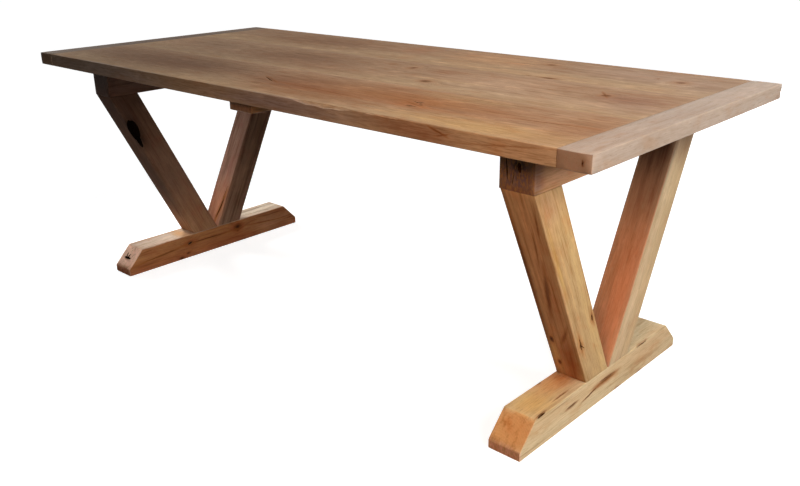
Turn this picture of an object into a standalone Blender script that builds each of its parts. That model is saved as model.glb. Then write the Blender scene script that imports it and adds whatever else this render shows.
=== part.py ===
"""Rustic hardwood dining table: a breadboard-ended top carried by two V trestles.

Metres, +Z up. The origin lies on the floor under the middle of the top. +X runs along the
top's length and +Y towards its back edge. The top hangs from a datum at its mid-thickness,
and each trestle from a datum on the floor at its own middle.
"""
import math

import bmesh
import bpy
from mathutils import Matrix

# Overall sizes
TABLE_LENGTH = 2.10
TABLE_WIDTH = 0.91
TABLE_HEIGHT = 0.765

# Gap left between pieces that touch
FIT = 0.0003

# Top: boards side by side, closed at both ends by breadboards
BOARD_COUNT = 3
TOP_THICKNESS = 0.038
BREADBOARD_WIDTH = 0.075
END_TONGUE_LENGTH = 0.030
END_TONGUE_THICKNESS = 0.012
END_TONGUE_STOP = 0.035
SPLINE_THICKNESS = 0.012
SPLINE_WIDTH = 0.032
SPLINE_STOP = 0.050
PEG_RADIUS = 0.005
PEG_COVER = 0.008
PEG_SLOT = 0.006

# Batten across the middle of the underside
BATTEN_WIDTH = 0.095
BATTEN_THICKNESS = 0.028
BATTEN_SETBACK = 0.022
BATTEN_EASE = 0.003
BATTEN_SCREW_SPREAD = 0.180
BATTEN_SCREW_STAGGER = 0.040
BATTEN_SLOT = 0.006
SCREW_SHANK_RADIUS = 0.0025
SCREW_HEAD_RADIUS = 0.0048
SCREW_HEAD_HEIGHT = 0.0030
SCREW_POINT = 0.005
SCREW_GRIP = 0.020

# Trestles
END_OVERHANG = 0.220
TIMBER_THICKNESS = 0.090
TIMBER_EASE = 0.002
RAIL_LENGTH = 0.740
RAIL_HEIGHT = 0.095
LEG_WIDTH = 0.092
LEG_THICKNESS = 0.087
FOOT_LENGTH = 0.765
FOOT_HEIGHT = 0.0855
FOOT_TOE_HEIGHT = 0.024
FOOT_CHAMFER_RUN = 0.060
TENON_THICKNESS = 0.020
TENON_DEPTH = 0.045
TENON_SHOULDER = 0.012
TENON_EASE = 0.002

# Bolts that hold each rail up to the top
BOLT_INSET = 0.058
BOLT_SHANK_RADIUS = 0.004
BOLT_HEAD_RADIUS = 0.0075
BOLT_HEAD_HEIGHT = 0.0055
BOLT_GRIP = 0.026
BOLT_SEAT_WOOD = 0.040
BOLT_SLOT = 0.006
WASHER_RADIUS = 0.012
WASHER_THICKNESS = 0.002
COUNTERBORE_RADIUS = 0.015

# Sides of a round solid, and how far a cutter runs past the surface it opens
ROUND_SIDES = 16
HEX_SIDES = 6
OVERRUN = 0.010
SMOOTH_ANGLE = math.radians(40)

# Sizes that follow
UNDERSIDE = TABLE_HEIGHT - TOP_THICKNESS
BOARD_LENGTH = TABLE_LENGTH - 2 * BREADBOARD_WIDTH
BOARD_PITCH = TABLE_WIDTH / BOARD_COUNT
BOARD_WIDTH = BOARD_PITCH - FIT
TRESTLE_X = TABLE_LENGTH / 2 - END_OVERHANG
RAIL_TOP = UNDERSIDE - FIT
RAIL_BOTTOM = RAIL_TOP - RAIL_HEIGHT
LEG_TOP = RAIL_BOTTOM - FIT
LEG_BOTTOM = FOOT_HEIGHT + FIT
LEG_RISE = LEG_TOP - LEG_BOTTOM
LEG_REACH = RAIL_LENGTH / 2 - FIT / 2
LEG_TILT = math.acos(LEG_WIDTH / math.hypot(LEG_REACH, LEG_RISE)) - math.atan2(LEG_RISE, LEG_REACH)
LEG_CUT = LEG_WIDTH / math.cos(LEG_TILT)
TENON_DRIFT = TENON_DEPTH * math.tan(LEG_TILT)
TENON_WIDTH = LEG_CUT - TENON_DRIFT - 2 * TENON_SHOULDER
LEG_X = (TIMBER_THICKNESS - LEG_THICKNESS) / 2
BOLT_Y = RAIL_LENGTH / 2 - LEG_CUT - BOLT_INSET


def clear_scene():
    """Empty the scene."""
    for obj in list(bpy.data.objects):
        bpy.data.objects.remove(obj)


def make_collection(name):
    """A collection linked to the scene."""
    collection = bpy.data.collections.new(name)
    bpy.context.scene.collection.children.link(collection)
    return collection


def make_finish(name, colour, roughness, metallic=0.0):
    """A plain surface finish."""
    finish = bpy.data.materials.new(name)
    finish.use_nodes = True
    shader = finish.node_tree.nodes["Principled BSDF"]
    shader.inputs["Base Color"].default_value = (*colour, 1.0)
    shader.inputs["Roughness"].default_value = roughness
    shader.inputs["Metallic"].default_value = metallic
    return finish


clear_scene()
PARTS = make_collection("dining_table")
CUTTERS = make_collection("dining_table_cutters")
BOARD_WOOD = make_finish("board_hardwood", (0.40, 0.24, 0.13), 0.55)
BREADBOARD_WOOD = make_finish("breadboard_hardwood", (0.52, 0.37, 0.25), 0.55)
TRESTLE_WOOD = make_finish("trestle_hardwood", (0.46, 0.28, 0.14), 0.60)
JOINT_WOOD = make_finish("joint_hardwood", (0.50, 0.38, 0.25), 0.70)
ZINC_STEEL = make_finish("zinc_plated_steel", (0.62, 0.62, 0.60), 0.35, 1.0)


def make_datum(name, location):
    """An empty that its pieces are placed from."""
    datum = bpy.data.objects.new(name, None)
    PARTS.objects.link(datum)
    datum.location = location
    return datum


def place(name, mesh, datum, location, finish=None):
    """Put a mesh in the scene as a piece, or as a cutter where it has no finish."""
    obj = bpy.data.objects.new(name, mesh)
    obj.parent = datum
    obj.location = location
    if finish:
        PARTS.objects.link(obj)
        mesh.materials.append(finish)
    else:
        CUTTERS.objects.link(obj)
        obj.hide_render = True
        obj.display_type = "WIRE"
    return obj


def mesh_from(name, bm):
    """Turn an edit mesh into a mesh, with round surfaces shaded smooth."""
    mesh = bpy.data.meshes.new(name)
    bm.to_mesh(mesh)
    bm.free()
    mesh.shade_smooth()
    mesh.set_sharp_from_angle(angle=SMOOTH_ANGLE)
    return mesh


def box_mesh(name, size):
    """A box of the given size about its own middle."""
    bm = bmesh.new()
    bmesh.ops.create_cube(bm, size=1.0, matrix=Matrix.Diagonal((*size, 1.0)))
    return mesh_from(name, bm)


def round_mesh(name, radius, height, sides=ROUND_SIDES, slot=0.0):
    """An upright cylinder about its own middle, drawn out along Y where it makes a slot."""
    bm = bmesh.new()
    bmesh.ops.create_cone(bm, cap_ends=True, segments=sides, radius1=radius, radius2=radius, depth=height)
    for vert in bm.verts:
        if abs(vert.co.y) > radius / ROUND_SIDES:
            vert.co.y += math.copysign(slot / 2, vert.co.y)
    return mesh_from(name, bm)


def prism_mesh(name, outline, thickness):
    """A prism whose (y, z) outline runs through its thickness along X."""
    curve = bpy.data.curves.new(name, "CURVE")
    curve.dimensions = "2D"
    curve.fill_mode = "BOTH"
    curve.extrude = thickness / 2
    spline = curve.splines.new("POLY")
    spline.points.add(len(outline) - 1)
    for point, (y, z) in zip(spline.points, outline):
        point.co = (y, z, 0.0, 1.0)
    spline.use_cyclic_u = True
    sheet = bpy.data.objects.new(name, curve)
    CUTTERS.objects.link(sheet)
    depsgraph = bpy.context.evaluated_depsgraph_get()
    flat = bpy.data.meshes.new_from_object(sheet.evaluated_get(depsgraph))
    bpy.data.objects.remove(sheet)
    bm = bmesh.new()
    bm.from_mesh(flat)
    bpy.data.meshes.remove(flat)
    # The outline is drawn flat, so it is stood up with its first axis along Y
    stand_up = Matrix.Rotation(math.pi / 2, 4, "Z") @ Matrix.Rotation(math.pi / 2, 4, "X")
    bmesh.ops.transform(bm, matrix=stand_up, verts=bm.verts)
    bmesh.ops.remove_doubles(bm, verts=bm.verts, dist=0.00001)
    bmesh.ops.dissolve_limit(bm, angle_limit=0.01, verts=bm.verts, edges=bm.edges)
    bmesh.ops.recalc_face_normals(bm, faces=bm.faces)
    return mesh_from(name, bm)


def turned_object(name, profile, datum, location, finish):
    """A turned piece from its (radius, height) profile, listed from top to bottom."""
    mesh = bpy.data.meshes.new(name)
    points = [(radius, 0.0, height) for radius, height in profile]
    mesh.from_pydata(points, [(i, i + 1) for i in range(len(points) - 1)], [])
    obj = place(name, mesh, datum, location, finish)
    turn = obj.modifiers.new("turn", "SCREW")
    turn.steps = ROUND_SIDES
    turn.render_steps = ROUND_SIDES
    turn.use_merge_vertices = True
    turn.merge_threshold = 0.00001
    return obj


def ease(obj, width):
    """Take the arrises off a piece."""
    bevel = obj.modifiers.new("ease", "BEVEL")
    bevel.width = width
    bevel.segments = 1
    bevel.limit_method = "ANGLE"


def shape(obj, tool, operation="DIFFERENCE"):
    """Cut a tool out of a piece, or join it on."""
    boolean = obj.modifiers.new(tool.name, "BOOLEAN")
    boolean.operation = operation
    boolean.solver = "EXACT"
    boolean.object = tool


def board_middles():
    """Y of each board's middle, from front to back."""
    first = -(BOARD_COUNT - 1) / 2 * BOARD_PITCH
    return [first + i * BOARD_PITCH for i in range(BOARD_COUNT)]


def is_outer(index):
    """Whether a board is the first or last one, which is free to move under its fixings."""
    return index in (0, BOARD_COUNT - 1)


def build_boards(top):
    """Boards with a rebated tongue across both ends, stopped short of the long edges."""
    blank = (BOARD_LENGTH + 2 * END_TONGUE_LENGTH, BOARD_WIDTH, TOP_THICKNESS)
    boards = []
    for number, y in enumerate(board_middles(), start=1):
        name = f"top_board_{number}"
        boards.append(place(name, box_mesh(name, blank), top, (0, y, 0), BOARD_WOOD))
    rebate_length = END_TONGUE_LENGTH + OVERRUN
    rebate_x = BOARD_LENGTH / 2 + rebate_length / 2
    cheek = (TOP_THICKNESS - END_TONGUE_THICKNESS) / 2 + OVERRUN
    cheek_z = END_TONGUE_THICKNESS / 2 + cheek / 2
    stop = END_TONGUE_STOP + OVERRUN
    stop_y = TABLE_WIDTH / 2 - END_TONGUE_STOP + stop / 2
    for side, end in ((-1, "left"), (1, "right")):
        tools = []
        for sign, face in ((-1, "lower"), (1, "upper")):
            mesh = box_mesh("rebate", (rebate_length, TABLE_WIDTH + 2 * OVERRUN, cheek))
            at = (side * rebate_x, 0, sign * cheek_z)
            tools.append(place(f"rebate_{end}_{face}", mesh, top, at))
        for sign, face in ((-1, "front"), (1, "back")):
            mesh = box_mesh("tongue_stop", (rebate_length, stop, TOP_THICKNESS))
            at = (side * rebate_x, sign * stop_y, 0)
            tools.append(place(f"tongue_stop_{end}_{face}", mesh, top, at))
        for board in boards:
            for tool in tools:
                shape(board, tool)
    return boards


def build_splines(top, boards):
    """Loose splines in the grooves between neighbouring boards."""
    length = BOARD_LENGTH - 2 * SPLINE_STOP
    splines = []
    for number in range(1, BOARD_COUNT):
        y = board_middles()[number] - BOARD_PITCH / 2
        name = f"board_spline_{number}"
        mesh = box_mesh(name, (length, SPLINE_WIDTH, SPLINE_THICKNESS))
        splines.append(place(name, mesh, top, (0, y, 0), JOINT_WOOD))
        groove_size = (length + 2 * FIT, SPLINE_WIDTH + 2 * FIT, SPLINE_THICKNESS + 2 * FIT)
        groove = place(f"spline_groove_{number}", box_mesh("groove", groove_size), top, (0, y, 0))
        shape(boards[number - 1], groove)
        shape(boards[number], groove)
    return splines


def build_breadboards(top, boards):
    """End boards grooved for the tongues, and blind pegs driven up from below."""
    slot_depth = END_TONGUE_LENGTH + FIT
    slot_width = TABLE_WIDTH - 2 * END_TONGUE_STOP + 2 * FIT
    slot_height = END_TONGUE_THICKNESS + 2 * FIT
    peg_height = TOP_THICKNESS - PEG_COVER
    peg_z = -PEG_COVER / 2
    for side, end in ((-1, "left"), (1, "right")):
        name = f"breadboard_{end}"
        size = (BREADBOARD_WIDTH - FIT, TABLE_WIDTH, TOP_THICKNESS)
        at = (side * (TABLE_LENGTH / 2 - size[0] / 2), 0, 0)
        breadboard = place(name, box_mesh(name, size), top, at, BREADBOARD_WOOD)
        groove_mesh = box_mesh("groove", (slot_depth + OVERRUN, slot_width, slot_height))
        groove_at = (side * (BOARD_LENGTH / 2 + (slot_depth - OVERRUN) / 2), 0, 0)
        shape(breadboard, place(f"end_groove_{end}", groove_mesh, top, groove_at))
        peg_x = side * (BOARD_LENGTH / 2 + END_TONGUE_LENGTH / 2)
        for number, y in enumerate(board_middles(), start=1):
            peg_name = f"breadboard_peg_{end}_{number}"
            peg_mesh = round_mesh(peg_name, PEG_RADIUS, peg_height)
            place(peg_name, peg_mesh, top, (peg_x, y, peg_z), JOINT_WOOD)
            hole_mesh = round_mesh("peg_hole", PEG_RADIUS + FIT, peg_height + FIT + OVERRUN)
            hole_at = (peg_x, y, peg_z + (FIT - OVERRUN) / 2)
            shape(breadboard, place(f"peg_hole_{end}_{number}", hole_mesh, top, hole_at))
            # The outer boards' holes are slots, so that a board can swell across its width
            slot = PEG_SLOT if is_outer(number - 1) else 0.0
            slot_mesh = round_mesh("peg_slot", PEG_RADIUS + FIT, TOP_THICKNESS, slot=slot)
            shape(boards[number - 1], place(f"peg_slot_{end}_{number}", slot_mesh, top, (peg_x, y, 0)))


def build_batten(top, boards, splines):
    """Batten under the middle of the top, with two screws into each board."""
    length = TABLE_WIDTH - 2 * BATTEN_SETBACK
    z = -TOP_THICKNESS / 2 - FIT - BATTEN_THICKNESS / 2
    mesh = box_mesh("centre_batten", (BATTEN_WIDTH, length, BATTEN_THICKNESS))
    batten = place("centre_batten", mesh, top, (0, 0, z), JOINT_WOOD)
    ease(batten, BATTEN_EASE)
    underside = z - BATTEN_THICKNESS / 2
    screw_length = BATTEN_THICKNESS + FIT + SCREW_GRIP
    profile = [
        (0.0, screw_length),
        (SCREW_SHANK_RADIUS, screw_length - SCREW_POINT),
        (SCREW_SHANK_RADIUS, SCREW_HEAD_HEIGHT),
        (SCREW_HEAD_RADIUS, 0.0),
        (0.0, 0.0),
    ]
    number = 0
    for index, middle in enumerate(board_middles()):
        for sign in (-1, 1):
            number += 1
            x = sign * BATTEN_SCREW_STAGGER / 2
            y = middle + sign * BATTEN_SCREW_SPREAD / 2
            turned_object(f"batten_screw_{number}", profile, top, (x, y, underside), ZINC_STEEL)
            pilot_mesh = round_mesh("pilot", SCREW_SHANK_RADIUS + FIT, screw_length + FIT)
            pilot_at = (x, y, underside + (screw_length + FIT) / 2)
            pilot = place(f"batten_pilot_{number}", pilot_mesh, top, pilot_at)
            for piece in boards + splines:
                shape(piece, pilot)
            slot = BATTEN_SLOT if is_outer(index) else 0.0
            slot_mesh = round_mesh("slot", SCREW_SHANK_RADIUS + FIT, BATTEN_THICKNESS + OVERRUN, slot=slot)
            shape(batten, place(f"batten_slot_{number}", slot_mesh, top, (x, y, z)))
            sink_height = SCREW_HEAD_HEIGHT + FIT + OVERRUN
            sink_mesh = round_mesh("sink", SCREW_HEAD_RADIUS + FIT, sink_height, slot=slot)
            sink_at = (x, y, underside + sink_height / 2 - OVERRUN)
            shape(batten, place(f"batten_sink_{number}", sink_mesh, top, sink_at))


def leg_outline(side):
    """Outline of one leg of the V: level cuts at both ends, inner edges meeting on the foot."""
    vertex = FIT / 2
    outline = [
        (vertex, LEG_BOTTOM),
        (vertex + LEG_CUT, LEG_BOTTOM),
        (RAIL_LENGTH / 2, LEG_TOP),
        (RAIL_LENGTH / 2 - LEG_CUT, LEG_TOP),
    ]
    return [(side * y, z) for y, z in outline]


def foot_outline():
    """Outline of a foot: a low toe at each end under a long chamfer."""
    half = [
        (FOOT_LENGTH / 2, 0.0),
        (FOOT_LENGTH / 2, FOOT_TOE_HEIGHT),
        (FOOT_LENGTH / 2 - FOOT_CHAMFER_RUN, FOOT_HEIGHT),
    ]
    return half + [(-y, z) for y, z in reversed(half)]


def build_tenon(prefix, datum, y, joint_z, pieces):
    """A loose tenon across one joint, and its mortises in both timbers."""
    size = (TENON_THICKNESS, TENON_WIDTH, 2 * TENON_DEPTH)
    tenon = place(prefix, box_mesh(prefix, size), datum, (0, y, joint_z), JOINT_WOOD)
    ease(tenon, TENON_EASE)
    mortise_size = tuple(length + 2 * FIT for length in size)
    mortise = place(f"{prefix}_mortise", box_mesh("mortise", mortise_size), datum, (0, y, joint_z))
    for piece in pieces:
        shape(piece, mortise)


def build_bolts(prefix, datum, rail, top_pieces):
    """Bolts with washers, up through the rail's counterbores into the top."""
    seat = RAIL_TOP - BOLT_SEAT_WOOD
    washer_z = seat - FIT - WASHER_THICKNESS / 2
    head_top = seat - 2 * FIT - WASHER_THICKNESS
    shank_top = UNDERSIDE + BOLT_GRIP
    for number, y in enumerate((-BOLT_Y, 0.0, BOLT_Y), start=1):
        slot = BOLT_SLOT if y else 0.0
        head_name = f"{prefix}_bolt_{number}"
        head_mesh = round_mesh(head_name, BOLT_HEAD_RADIUS, BOLT_HEAD_HEIGHT, HEX_SIDES)
        head_z = head_top - BOLT_HEAD_HEIGHT / 2
        bolt = place(head_name, head_mesh, datum, (0, y, head_z), ZINC_STEEL)
        shank_length = shank_top - head_z
        shank_mesh = round_mesh("shank", BOLT_SHANK_RADIUS, shank_length)
        shank_at = (0, y, head_z + shank_length / 2)
        shape(bolt, place(f"{prefix}_shank_{number}", shank_mesh, datum, shank_at), "UNION")
        washer_name = f"{prefix}_washer_{number}"
        washer_mesh = round_mesh(washer_name, WASHER_RADIUS, WASHER_THICKNESS)
        washer = place(washer_name, washer_mesh, datum, (0, y, washer_z), ZINC_STEEL)
        eye_mesh = round_mesh("eye", BOLT_SHANK_RADIUS + FIT, WASHER_THICKNESS + OVERRUN)
        shape(washer, place(f"{prefix}_washer_eye_{number}", eye_mesh, datum, (0, y, washer_z)))
        bore_height = seat - RAIL_BOTTOM + OVERRUN
        bore_mesh = round_mesh("counterbore", COUNTERBORE_RADIUS, bore_height, slot=slot)
        bore_at = (0, y, seat - bore_height / 2)
        shape(rail, place(f"{prefix}_counterbore_{number}", bore_mesh, datum, bore_at))
        hole_mesh = round_mesh("hole", BOLT_SHANK_RADIUS + FIT, BOLT_SEAT_WOOD + 2 * OVERRUN, slot=slot)
        hole_at = (0, y, RAIL_TOP - BOLT_SEAT_WOOD / 2)
        shape(rail, place(f"{prefix}_bolt_hole_{number}", hole_mesh, datum, hole_at))
        pilot_height = BOLT_GRIP + FIT + OVERRUN
        pilot_mesh = round_mesh("pilot", BOLT_SHANK_RADIUS + FIT, pilot_height)
        pilot_at = (0, y, shank_top + FIT - pilot_height / 2)
        pilot = place(f"{prefix}_bolt_pilot_{number}", pilot_mesh, datum, pilot_at)
        for piece in top_pieces:
            shape(piece, pilot)


def build_trestle(prefix, x, top_pieces):
    """One trestle: rail, two legs in a V, foot, loose tenons and the bolts to the top."""
    datum = make_datum(f"{prefix}_datum", (x, 0, 0))
    rail_name = f"{prefix}_rail"
    rail_mesh = box_mesh(rail_name, (TIMBER_THICKNESS, RAIL_LENGTH, RAIL_HEIGHT))
    rail = place(rail_name, rail_mesh, datum, (0, 0, RAIL_TOP - RAIL_HEIGHT / 2), TRESTLE_WOOD)
    foot_name = f"{prefix}_foot"
    foot_mesh = prism_mesh(foot_name, foot_outline(), TIMBER_THICKNESS)
    foot = place(foot_name, foot_mesh, datum, (0, 0, 0), TRESTLE_WOOD)
    ease(rail, TIMBER_EASE)
    ease(foot, TIMBER_EASE)
    low_y = FIT / 2 + LEG_CUT / 2 + TENON_DRIFT / 2
    high_y = RAIL_LENGTH / 2 - LEG_CUT / 2 - TENON_DRIFT / 2
    for side, place_name in ((-1, "front"), (1, "back")):
        leg_name = f"{prefix}_leg_{place_name}"
        leg_mesh = prism_mesh(leg_name, leg_outline(side), LEG_THICKNESS)
        # The legs are thinner than the rail and the foot, and lie flush with their +X faces
        leg = place(leg_name, leg_mesh, datum, (LEG_X, 0, 0), TRESTLE_WOOD)
        ease(leg, TIMBER_EASE)
        tenon_name = f"{prefix}_tenon_{place_name}"
        build_tenon(f"{tenon_name}_foot", datum, side * low_y, FOOT_HEIGHT + FIT / 2, (leg, foot))
        build_tenon(f"{tenon_name}_rail", datum, side * high_y, RAIL_BOTTOM - FIT / 2, (leg, rail))
    build_bolts(prefix, datum, rail, top_pieces)


def build_table():
    """The whole table."""
    top = make_datum("top_datum", (0, 0, TABLE_HEIGHT - TOP_THICKNESS / 2))
    boards = build_boards(top)
    splines = build_splines(top, boards)
    build_breadboards(top, boards)
    build_batten(top, boards, splines)
    build_trestle("trestle_left", -TRESTLE_X, boards + splines)
    build_trestle("trestle_right", TRESTLE_X, boards + splines)
    bpy.context.view_layer.update()


build_table()
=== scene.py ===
"""Rustic hardwood dining table, as photographed: plank top with breadboard ends on two V trestles.

Every timber is its own mesh with eased and slightly worn arrises, its real joinery cut into it and
its splits cut as real openings. The wood is solid: each timber is sawn from a log of its own, with
growth rings round a pith, so the figure runs over the arrises and shows as end grain at the ends.
"""
import math

import bmesh
import bpy
from mathutils import Euler, Matrix, Quaternion, Vector


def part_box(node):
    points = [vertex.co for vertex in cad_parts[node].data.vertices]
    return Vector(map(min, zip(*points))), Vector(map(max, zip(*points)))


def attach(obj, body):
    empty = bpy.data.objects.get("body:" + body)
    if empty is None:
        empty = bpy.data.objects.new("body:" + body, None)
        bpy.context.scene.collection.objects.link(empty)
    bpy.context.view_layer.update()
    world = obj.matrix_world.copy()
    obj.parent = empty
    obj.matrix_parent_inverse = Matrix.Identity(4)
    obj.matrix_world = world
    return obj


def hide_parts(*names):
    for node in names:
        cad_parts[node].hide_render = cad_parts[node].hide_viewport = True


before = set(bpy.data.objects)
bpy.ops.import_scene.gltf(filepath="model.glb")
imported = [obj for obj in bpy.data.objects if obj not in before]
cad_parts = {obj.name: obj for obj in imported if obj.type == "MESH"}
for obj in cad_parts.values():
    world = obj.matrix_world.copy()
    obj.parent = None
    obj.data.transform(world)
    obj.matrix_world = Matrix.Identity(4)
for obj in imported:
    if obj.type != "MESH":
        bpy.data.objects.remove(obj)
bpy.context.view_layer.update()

# Sizes of the joinery, in metres
FIT = 0.0003
TONGUE_LENGTH = 0.030
TONGUE_THICKNESS = 0.012
TONGUE_STOP = 0.035
LEG_WIDTH = 0.092
TOE_HEIGHT = 0.024
CHAMFER_RUN = 0.060
COUNTERBORE_RADIUS = 0.015
PEG_HOLE_RADIUS = 0.0053
BOLT_HOLE_RADIUS = 0.0043
SCREW_HOLE_RADIUS = 0.0028
SCREW_SINK_RADIUS = 0.0051
SCREW_SINK_DEPTH = 0.0033

# How far a tool runs on past the wood that it cuts
OVERRUN = 0.01

# How far an arris is rounded: worn outer ones, the batten's, tight ones at a seam, and ends at a joint
WORN_ARRIS = 0.0014
BATTEN_ARRIS = 0.003
SEAM_ARRIS = 0.0003
JOINT_ARRIS = 0.0004

# How far from a seam or a joint handling leaves an arris alone
SEAM_MARGIN = 0.004
JOINT_MARGIN = 0.002

# How deep planing wavers and handling wears, and how far a split's and a waney edge's outline wander
PLANING_DEPTH = 0.0002
WEAR_DEPTH = 0.0007
SPLIT_WANDER = 0.004
WANE_WANDER = 0.006

# Faces that turn by more than the first angle meet at an arris; below the second, shading is smooth
ARRIS_ANGLE = math.radians(30)
SMOOTH_ANGLE = math.radians(32)

# A corner is off the broad faces where its normal's cosine to all of theirs is less than this
OFF_FLAT = 0.985

# A face looks along an axis where its normal's share of it is more than this
FACING = 0.9

# Corners nearer than the first are one corner; within the second of a plane, a corner is on it
SAME_SPOT = 0.000002
TOUCH = 0.00001


def linear(code):
    """An sRGB hex colour as linear red, green, blue and alpha."""
    channels = [int(code[i:i + 2], 16) / 255 for i in (1, 3, 5)]
    steps = [c / 12.92 if c <= 0.04045 else ((c + 0.055) / 1.055) ** 2.4 for c in channels]
    return (*steps, 1.0)


def add(tree, kind, inputs=None, out=0, **settings):
    """Add a node with its settings and its inputs, fixed or linked, and give one of its outputs."""
    node = tree.nodes.new("ShaderNode" + kind)
    for name, value in settings.items():
        setattr(node, name, value)
    for socket, value in (inputs or {}).items():
        if isinstance(value, bpy.types.NodeSocket):
            tree.links.new(value, node.inputs[socket])
        else:
            node.inputs[socket].default_value = value
    return node.outputs[out] if len(node.outputs) else None


def new_material(name):
    """A material with an empty node tree."""
    material = bpy.data.materials.new(name)
    material.use_nodes = True
    material.node_tree.nodes.clear()
    return material


# Patterns in the wood, as cells to the metre along the log and across it both ways, then seed, detail
# and roughness. The pith wavers in waves from half a metre down to 60 mm long. Outlines are ragged in
# lumps of 26 mm by 10 mm. Mottling lies in blotches of about 70 mm by 30 mm. Flecks are 3 mm by 45 mm
# and pores 1 mm by 20 mm, drawn coarser than life so that they show. Rays in end grain are 4 mm by 12 mm.
LOG_PATTERNS = {
    "waver": ((2.1, 7.0, 7.0), 0.0, 4.0, 0.5),
    "rag": ((38.0, 95.0, 95.0), 11.0, 3.0, 0.6),
    "mottle": ((14.0, 33.0, 33.0), 9.0, 4.0, 0.6),
    "fibres": ((22.0, 330.0, 330.0), 0.0, 3.0, 0.6),
    "pores": ((50.0, 1000.0, 1000.0), 5.0, 1.0, 0.5),
    "rays": ((8.0, 250.0, 85.0), 13.0, 2.0, 0.6),
}
# The same along the log, outwards through its growth layers and round it: broad bands about 90 mm
# wide, and streaks from 17 mm down to 1 mm wide and about 300 mm long
LAYER_PATTERNS = {
    "bands": ((0.55, 11.0, 1.4), 3.0, 3.0, 0.5),
    "streaks": ((3.2, 60.0, 7.0), 7.0, 5.0, 0.66),
}
RING_WIDTH = 0.0045
PITH_SWING = 0.028
SAP_SWING = 0.09

# Ragged outlines wander through these lengths: 8 mm to either side along the grain, 3.5 mm across
RAG_SWING = Vector((0.016, 0.007, 0.007))

# The rim and the dark middle of a knot and of a gum vein, and a pore
KNOT_RIM = "#6b4023"
KNOT_HEART = "#341f12"
GUM_RIM = "#9a5f30"
GUM_HEART = "#55321b"
PORE_TONE = "#4a2c1a"


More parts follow.
